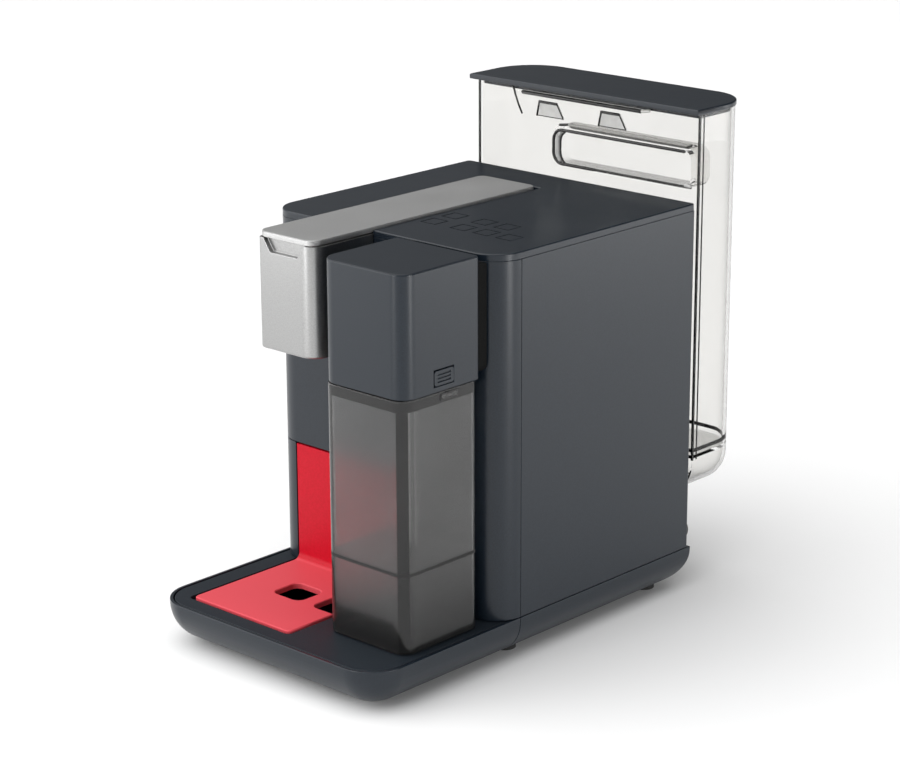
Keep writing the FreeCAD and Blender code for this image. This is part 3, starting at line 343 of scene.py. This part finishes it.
MATERIALS = {
    "dark_casing": moulded("dark_casing", (0.0040, 0.0080, 0.0135), (0.0080, 0.0135, 0.0215),
                           rough=0.30, grain=1500.0, depth=0.00005, specular=0.44),
    "silver_metal": brushed("silver_metal", (0.46, 0.46, 0.457), (0.54, 0.54, 0.537),
                            rough=0.46, metallic=0.97),
    # Below PLATE_HEIGHTS the red turns paler: painted light on the cup plate's top.
    "red_panel": moulded("red_panel", (0.45, 0.001, 0.011), (0.51, 0.002, 0.017),
                         rough=0.42, grain=900.0, depth=0.00002, specular=0.16,
                         base=PLATE_PAINTED_LIGHT_RED, heights=PLATE_HEIGHTS),
    # The jar's colour turns darker towards its foot below JAR_HEIGHTS: painted shade.
    "smoke_clear": clear("smoke_clear", (0.45, 0.45, 0.45), (0.52, 0.52, 0.52),
                         rough=(0.18, 0.21), share=0.95, base=JAR_FOOT_PAINTED_SHADE, heights=JAR_HEIGHTS),
    # The clear plastic's rim colour is painted shade where its walls are seen edge-on.
    "clear_plastic": clear("clear_plastic", (0.90, 0.896, 0.884), (0.92, 0.916, 0.904),
                           rough=(0.0, 0.02), ior=1.12, rim=(0.04, 0.04, 0.04)),
    "black_plastic": moulded("black_plastic", (0.004, 0.004, 0.005), (0.008, 0.008, 0.009),
                             rough=0.5, grain=1200.0, depth=0.00004, specular=0.2),
    "rubber_black": moulded("rubber_black", (0.008, 0.008, 0.008), (0.016, 0.016, 0.016),
                            rough=0.75, grain=700.0, depth=0.00005),
    "steel": brushed("steel", (0.45, 0.45, 0.44), (0.60, 0.60, 0.59), rough=0.30, stretch=(1.0, 0.05, 1.0)),
    "heater_metal": brushed("heater_metal", (0.38, 0.38, 0.38), (0.55, 0.55, 0.55), rough=0.5),
    "white_plastic": moulded("white_plastic", (0.66, 0.66, 0.63), (0.74, 0.74, 0.71),
                             rough=0.45, grain=900.0, depth=0.00003),
    "board_green": moulded("board_green", (0.012, 0.12, 0.045), (0.03, 0.20, 0.08),
                           rough=0.3, grain=300.0, depth=0.00003),
    "hose_silicone": moulded("hose_silicone", (0.58, 0.58, 0.55), (0.68, 0.68, 0.65),
                             rough=0.4, grain=300.0, depth=0.00003),
}
# Thick edges of clear mouldings, which look dark or grey because light leaves them sideways.
EDGE_DARK = moulded("edge_dark", (0.012, 0.012, 0.012), (0.024, 0.024, 0.023),
                    rough=0.2, grain=200.0, depth=0.00001)
EDGE_GREY = moulded("edge_grey", (0.42, 0.42, 0.41), (0.52, 0.52, 0.51),
                    rough=0.3, grain=200.0, depth=0.00001)
EDGE_PALE = moulded("edge_pale", (0.66, 0.66, 0.65), (0.76, 0.76, 0.75),
                    rough=0.3, grain=200.0, depth=0.00001)
# The brew head: the lever's metal in a smoother, darker finish.
SILVER_SMOOTH = brushed("silver_smooth", (0.33, 0.33, 0.328), (0.40, 0.40, 0.398), rough=0.30, metallic=0.97)
# The lift-out tray cover: the casing's colour in a duller finish.
DARK_DULL = moulded("dark_dull", (0.0080, 0.0120, 0.0170), (0.0130, 0.0185, 0.0255),
                    rough=0.55, grain=1500.0, depth=0.00006, specular=0.22)
# The neck behind the milk block: black plastic with painted shade on top of its black, so that it returns
# almost no light.
NECK_BLACK_AND_SHADE = moulded("neck_black_and_shade", (0.002, 0.002, 0.002), (0.004, 0.004, 0.004),
                     rough=0.7, grain=900.0, depth=0.00004, specular=0.08)
# The jar's rim band, and the painted shade down its front corners.
SMOKE_DARK = clear("smoke_dark", (0.045, 0.045, 0.045), (0.065, 0.065, 0.065), rough=(0.12, 0.2), share=0.85)


def paint_cad_nodes():
    for name, node in NODES.items():
        node.data.materials.clear()
        node.data.materials.append(MATERIALS[SLOT_OF[name]])
    # The neck behind the milk block takes the black with painted shade.
    NODES["milk_dock"].data.materials[0] = NECK_BLACK_AND_SHADE


# ---- Mesh building ----------------------------------------------------------------------


# The domed end of a bar: each ring's place along the dome and its size, as shares of the bar's radius.
DOME = ((0.0, 0.05), (0.3, 0.6), (0.75, 0.92), (1.0, 1.0))


def outline(x0, x1, y0, y1, radii, steps=8):
    """Anticlockwise points of a rectangle with a round at each corner, from the lowest corner."""
    centres = (
        (x0 + radii[0], y0 + radii[0], 180),
        (x1 - radii[1], y0 + radii[1], 270),
        (x1 - radii[2], y1 - radii[2], 0),
        (x0 + radii[3], y1 - radii[3], 90),
    )
    points = []
    for (u, v, start), radius in zip(centres, radii):
        for step in range(steps + 1):
            angle = math.radians(start + 90.0 * step / steps)
            points.append((u + radius * math.cos(angle), v + radius * math.sin(angle)))
    return points


def levelled(points, level):
    """A flat outline's points at a height."""
    return [(u, v, level) for u, v in points]


def placed(name, mesh, body, slot, material=None):
    """Links a finished mesh, gives it its material, and lets it ride on a body."""
    piece = bpy.data.objects.new(name, mesh)
    scene.collection.objects.link(piece)
    mesh.materials.append(material or MATERIALS[slot])
    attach(piece, body)


def add_bands(build, rows):
    """Faces between each ring of points and the next one."""
    count = len(rows[0])
    for row, following in zip(rows, rows[1:]):
        for i in range(count):
            j = (i + 1) % count
            build.faces.new((row[i], row[j], following[j], following[i]))


def finished_mesh(name, build, smooth=True):
    """Turns the built faces outwards and makes them a mesh whose corners stay sharp."""
    mesh = bpy.data.meshes.new(name)
    bmesh.ops.recalc_face_normals(build, faces=build.faces)
    build.to_mesh(mesh)
    build.free()
    for face in mesh.polygons:
        face.use_smooth = smooth
    mesh.set_sharp_from_angle(angle=SHARP_ANGLE)
    return mesh


def loft(name, rings, body, slot, material=None, smooth=True):
    """A closed solid through rings of equal length, with a face over the first and the last."""
    build = bmesh.new()
    rows = [[build.verts.new(point) for point in ring] for ring in rings]
    add_bands(build, rows)
    build.faces.new(list(reversed(rows[0])))
    build.faces.new(rows[-1])
    placed(name, finished_mesh(name, build, smooth), body, slot, material)


def frame_ring(name, outer, inner, low, high, body, slot, material=None):
    """A flat frame between two outlines of equal length, from a low level to a high one."""
    build = bmesh.new()
    rings = [levelled(outer, low), levelled(outer, high), levelled(inner, high), levelled(inner, low)]
    rows = [[build.verts.new(point) for point in ring] for ring in rings]
    add_bands(build, rows + rows[:1])
    placed(name, finished_mesh(name, build), body, slot, material)


def ring_round(centre, along, radius, sides):
    """Points of a circle about a line through its centre."""
    side = along.cross(Vector((0.0, 0.0, 1.0)) if abs(along.z) < 0.9 else Vector((0.0, 1.0, 0.0)))
    side.normalize()
    other = along.cross(side)
    turns = [2 * math.pi * k / sides for k in range(sides)]
    return [centre + (side * math.cos(turn) + other * math.sin(turn)) * radius for turn in turns]


def bar(name, points, radius, body, slot, material=None, sides=10):
    """A round bar along points, with a dome at each end."""
    centres = [Vector(point) for point in points]
    last = len(centres) - 1
    rings = []
    for i, centre in enumerate(centres):
        along = (centres[min(i + 1, last)] - centres[max(i - 1, 0)]).normalized()
        if i == 0:
            ends = [((reach - 1.0) * radius, share * radius) for reach, share in DOME]
        elif i == last:
            ends = [((1.0 - reach) * radius, share * radius) for reach, share in reversed(DOME)]
        else:
            ends = [(0.0, radius)]
        rings += [ring_round(centre + along * shift, along, size, sides) for shift, size in ends]
    loft(name, rings, body, slot, material)


# ---- Copies of CAD nodes ----------------------------------------------------------------


# The width that each casing's sharp edges are rounded over by, in millimetres.
SOFT_EDGES = {
    "milk_block": 0.7,
    "top_cover": 0.4,
    "lever": 0.6,
    "tank_lid": 0.5,
    "front_shell": 0.35,
    "right_panel": 0.35,
    "left_panel": 0.35,
    "drip_tray": 0.5,
    "base_casing": 0.4,
    "bin_front": 0.35,
    "release_button": 0.3,
    "head_casing": 0.6,
    "tray_cover": 0.3,
}
FINISH_OF = {"head_casing": SILVER_SMOOTH, "tray_cover": DARK_DULL}


def copied_node(node, ending):
    """A piece that stands for a CAD node, made from a copy of its mesh."""
    mesh = NODES[node].data.copy()
    mesh.name = node + ending
    mesh.materials.clear()
    mesh.materials.append(FINISH_OF.get(node, MATERIALS[SLOT_OF[node]]))
    piece = bpy.data.objects.new(node + ending, mesh)
    scene.collection.objects.link(piece)
    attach(piece, BODY_OF[node])
    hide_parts(node)
    return piece


def soften_edges(node, width):
    """Replaces a CAD node by a copy of it whose sharp edges are rounded over, as moulded edges are."""
    piece = copied_node(node, "_soft")
    mesh = piece.data
    build = bmesh.new()
    build.from_mesh(mesh)
    bmesh.ops.remove_doubles(build, verts=build.verts, dist=0.01 * MM)
    bmesh.ops.dissolve_limit(build, angle_limit=math.radians(0.6), verts=build.verts, edges=build.edges)
    build.to_mesh(mesh)
    build.free()
    if "custom_normal" in mesh.attributes:
        mesh.attributes.remove(mesh.attributes["custom_normal"])
    for face in mesh.polygons:
        face.use_smooth = True
    bevel = piece.modifiers.new("round_over", "BEVEL")
    bevel.width = width
    bevel.segments = 2
    bevel.limit_method = "ANGLE"
    bevel.angle_limit = SHARP_ANGLE
    bevel.harden_normals = True
    bevel.use_clamp_overlap = False


def squeeze_spring(node):
    """Replaces the upright spring on a moving piece by a copy of it with a mesh of its own."""
    spring = copied_node(node, "_coil")
    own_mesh(spring)


# ---- Tank details -----------------------------------------------------------------------


TANK_LOW, TANK_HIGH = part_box("tank_body")
# The details on the tank's front wall lie just inside its outer face.
TANK_FACE = TANK_LOW.y + 0.9 * MM
TANK_RIDE = ("water_tank", "clear_plastic")
TANK_BACK_ROUND = 26.0


def on_tank(x, z, depth=0.0):
    """A point of the front wall, in millimetres from its top left corner and into the tank."""
    return (TANK_LOW.x + x * MM, TANK_FACE + depth * MM, TANK_HIGH.z + z * MM)


def tank_line(name, points, radius, material=EDGE_DARK, depth=0.0):
    """A round bar on the front wall, through points of x and z as on_tank has them."""
    bar(name, [on_tank(x, z, depth) for x, z in points], radius * MM, *TANK_RIDE, material)


def make_tank_edges():
    """The upright edges of the front wall, and its thickness seen through the right side."""
    bottom, top = TANK_LOW.z + 26.0 * MM, TANK_HIGH.z - 0.3 * MM
    edges = (
        ("left", TANK_LOW.x + 0.9 * MM, TANK_FACE, 1.7 * MM),
        ("right", TANK_HIGH.x - 0.9 * MM, TANK_FACE, 1.7 * MM),
        ("inner", TANK_HIGH.x - 0.6 * MM, TANK_FACE + 4.2 * MM, 1.1 * MM),
    )
    for name, x, y, width in edges:
        half = width / 2
        shape = outline(x - half, x + half, y - half, y + half, [0.4 * MM] * 4, 3)
        rings = [levelled(shape, level) for level in (bottom, top)]
        loft("tank_edge_" + name, rings, *TANK_RIDE, EDGE_DARK)


def make_finger_recess():
    """A thick bent edge round the recess's left end, and thinner lines above and below it."""
    left, right, bottom, top = 73.5, 194.0, -53.6, -28.5
    middle = (bottom + top) / 2
    bend, bend_steps, stub = 8.0, 8, 30.0
    bent = []
    for centre, start in ((top - bend, 90), (bottom + bend, 180)):
        for step in range(bend_steps + 1):
            angle = math.radians(start + 90.0 * step / bend_steps)
            bent.append((left + bend + bend * math.cos(angle), centre + bend * math.sin(angle)))

    past_bend = left + bend + stub
    tank_line("grip_edge", [(past_bend, top)] + bent + [(past_bend, bottom)], 1.15)
    tank_line("grip_edge_top", [(left + bend, top), (right, top)], 1.2)
    tank_line("grip_edge_bottom", [(left + bend, bottom), (right + 6.5, bottom)], 0.8)
    tank_line("grip_foot", [(right + 2.0, bottom + 1.3), (right + 6.0, bottom + 1.0)], 1.6, EDGE_GREY)

    narrowing = 0.8
    inner = [
        (left + 6.6 + (x - left) * narrowing, z + (narrowing if z < middle else -narrowing))
        for x, z in bent[2:-2]
    ]
    tank_line("grip_edge_inner", inner, 0.8)
    tank_line("grip_between", [(x + 3.4, z) for x, z in bent[4:-4]], 2.2, EDGE_GREY, depth=1.6)

    shoulder, end = top + 5.2, right + 6.6
    tank_line("grip_shoulder_left", [(left + 6.0, top + 3.6), (left + 13.0, top + 4.6)], 1.0)
    tank_line("grip_shoulder_end", [(right + 2.5, top + 3.4), (end, shoulder)], 0.75)
    tank_line("grip_shoulder", [(left + 13.0, top + 5.0), (end, shoulder)], 0.3, EDGE_GREY)


def make_lid_rail():
    """The dark rail under the lid with its white end, and the slanting rib at its left."""
    rail = -5.1
    tank_line("lid_rail", [(43.5, rail), (154.5, rail)], 1.5)
    tank_line("lid_rail_end", [(155.5, rail), (162.0, rail + 1.4)], 1.3, MATERIALS["white_plastic"])
    tank_line("tank_rib", [(34.2, -2.1), (36.4, -8.3), (39.2, -14.7), (42.6, -20.9)], 0.8)


def make_hook(name, x):
    """A small trapezium pocket on the front wall: a pale face in a frame with a dark top."""
    top, bottom = -10.2, -20.5
    corners = {"bottom_left": (x, bottom), "bottom_right": (x + 25.0, bottom),
               "top_right": (x + 18.8, top), "top_left": (x + 2.2, top)}
    rings = [[on_tank(u, w, depth) for u, w in corners.values()] for depth in (0.0, 1.6)]
    loft(name + "_face", rings, *TANK_RIDE, EDGE_PALE, smooth=False)
    edges = (("top_left", "top_right", 1.0), ("bottom_left", "top_left", 0.8),
             ("bottom_right", "top_right", 0.5), ("bottom_left", "bottom_right", 0.35))
    for start, end, radius in edges:
        tank_line("%s_%s_%s" % (name, start, end), [corners[start], corners[end]], radius)


def tank_outline(gap):
    """The tank's outline seen from above, moved in by a gap in millimetres."""
    rounds = [0.8 * MM] * 2 + [(TANK_BACK_ROUND - gap) * MM] * 2
    gap *= MM
    return outline(TANK_LOW.x + gap, TANK_HIGH.x - gap, TANK_LOW.y + gap, TANK_HIGH.y - gap, rounds, 12)


def make_tank_rings():
    """The joint line round the tank at its floor, and the rim of the lid seen through the walls."""
    width = 2.0
    foot, head = TANK_LOW.z + 32.0 * MM, TANK_LOW.z + 34.2 * MM
    frame_ring("tank_floor_line", tank_outline(0.25), tank_outline(0.25 + width), foot, head,
               *TANK_RIDE, EDGE_DARK)
    foot, head = TANK_HIGH.z - 3.7 * MM, TANK_HIGH.z - 0.3 * MM
    frame_ring("lid_rim", tank_outline(3.3), tank_outline(3.3 + width), foot, head,
               "tank_lid", "dark_casing")


def make_tank_details():
    make_tank_edges()
    make_finger_recess()
    make_lid_rail()
    for number, x in enumerate((57.4, 116.0)):
        make_hook("tank_hook_%d" % number, x)
    make_tank_rings()


# ---- Jar details ------------------------------------------------------------------------


JAR_LOW, JAR_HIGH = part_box("milk_jar")
JAR_RIDE = ("milk_unit", "smoke_clear")
JAR_FRONT_ROUND = 10.0 * MM
JAR_BACK_ROUND = 5.0 * MM
# The joint line at the jar's floor and the band in its rim, from bottom to top.
JOINT_LINE = (JAR_LOW.z + 54.4 * MM, JAR_LOW.z + 56.5 * MM)
RIM_BAND = (JAR_HIGH.z - 7.4 * MM, JAR_HIGH.z - 1.0 * MM)


def jar_outline(gap):
    """The jar's outline seen from above, moved in by a gap; the rounds keep their size outside it."""
    front, back = JAR_FRONT_ROUND - max(gap, 0.0), JAR_BACK_ROUND - max(gap, 0.0)
    return outline(JAR_LOW.x + gap, JAR_HIGH.x - gap, JAR_LOW.y + gap, JAR_HIGH.y - gap,
                   [front, front, back, back])


def make_jar_bands():
    outer, inner = jar_outline(-0.12 * MM), jar_outline(1.0 * MM)
    frame_ring("jar_joint_line", outer, inner, *JOINT_LINE, *JAR_RIDE, MATERIALS["rubber_black"])
    frame_ring("jar_rim_band", outer, inner, *RIM_BAND, *JAR_RIDE, SMOKE_DARK)


def make_jar_corner_shade():
    """Painted shade: dark bands down the two front corners, where the rounded walls show dark surroundings.
    """
    lift, depth, steps, clearance = 0.06 * MM, 0.5 * MM, 8, 0.2 * MM
    radius = JAR_FRONT_ROUND
    heights = (
        ("skirt", JAR_LOW.z + 1.7 * MM, JOINT_LINE[0] - clearance),
        ("wall", JOINT_LINE[1] + clearance, RIM_BAND[0] - clearance),
    )
    corners = (("right", JAR_HIGH.x - radius, 288.0, 334.0), ("left", JAR_LOW.x + radius, 222.0, 262.0))
    for name, centre, start, end in corners:
        angles = [math.radians(start + (end - start) * step / steps) for step in range(steps + 1)]
        arc = [(radius + lift, angle) for angle in angles]
        arc += [(radius - depth, angle) for angle in reversed(angles)]
        shape = [
            (centre + reach * math.cos(angle), JAR_LOW.y + radius + reach * math.sin(angle))
            for reach, angle in arc
        ]
        for part, foot, head in heights:
            rings = [levelled(shape, level) for level in (foot, head)]
            loft("jar_corner_%s_%s" % (name, part), rings, *JAR_RIDE, SMOKE_DARK)


def make_jar_clip():
    """The clip in the right wall of the rim, a smoky tongue in a dark frame."""
    y0, y1 = JAR_LOW.y + 34.2 * MM, JAR_LOW.y + 50.7 * MM
    z0, z1 = JAR_HIGH.z - 5.8 * MM, JAR_HIGH.z - 1.2 * MM
    middle_y, middle_z = (y0 + y1) / 2, (z0 + z1) / 2
    layers = (("jar_clip_frame", 0.0, 0.45 * MM, EDGE_DARK), ("jar_clip", 0.8 * MM, 0.75 * MM, None))
    for name, inset, proud, material in layers:
        shape = [
            (u + (inset if u < middle_y else -inset), w + (inset if w < middle_z else -inset))
            for u, w in outline(y0, y1, z0, z1, [0.9 * MM] * 4, 3)
        ]
        rings = [[(x, u, w) for u, w in shape] for x in (JAR_HIGH.x - 0.3 * MM, JAR_HIGH.x + proud)]
        loft(name, rings, *JAR_RIDE, material)


def make_level_marks():
    """Three faint marks on the right wall, without lettering."""
    centre, x = JAR_LOW.y + 38.2 * MM, JAR_HIGH.x + 0.01 * MM
    for number, (height, length) in enumerate(((117.2, 9.0), (109.2, 5.0), (101.2, 9.0))):
        z = JAR_LOW.z + height * MM
        ends = [(x, centre + side * length / 2 * MM, z) for side in (-1, 1)]
        bar("level_mark_%d" % number, ends, 0.12 * MM, *JAR_RIDE, sides=6)


def make_jar_details():
    make_jar_bands()
    make_jar_corner_shade()
    make_jar_clip()
    make_level_marks()


make_camera()
make_studio()
paint_cad_nodes()
make_tank_details()
make_jar_details()
for soft_node, soft_width in SOFT_EDGES.items():
    soften_edges(soft_node, soft_width * MM)
squeeze_spring("valve_spring")
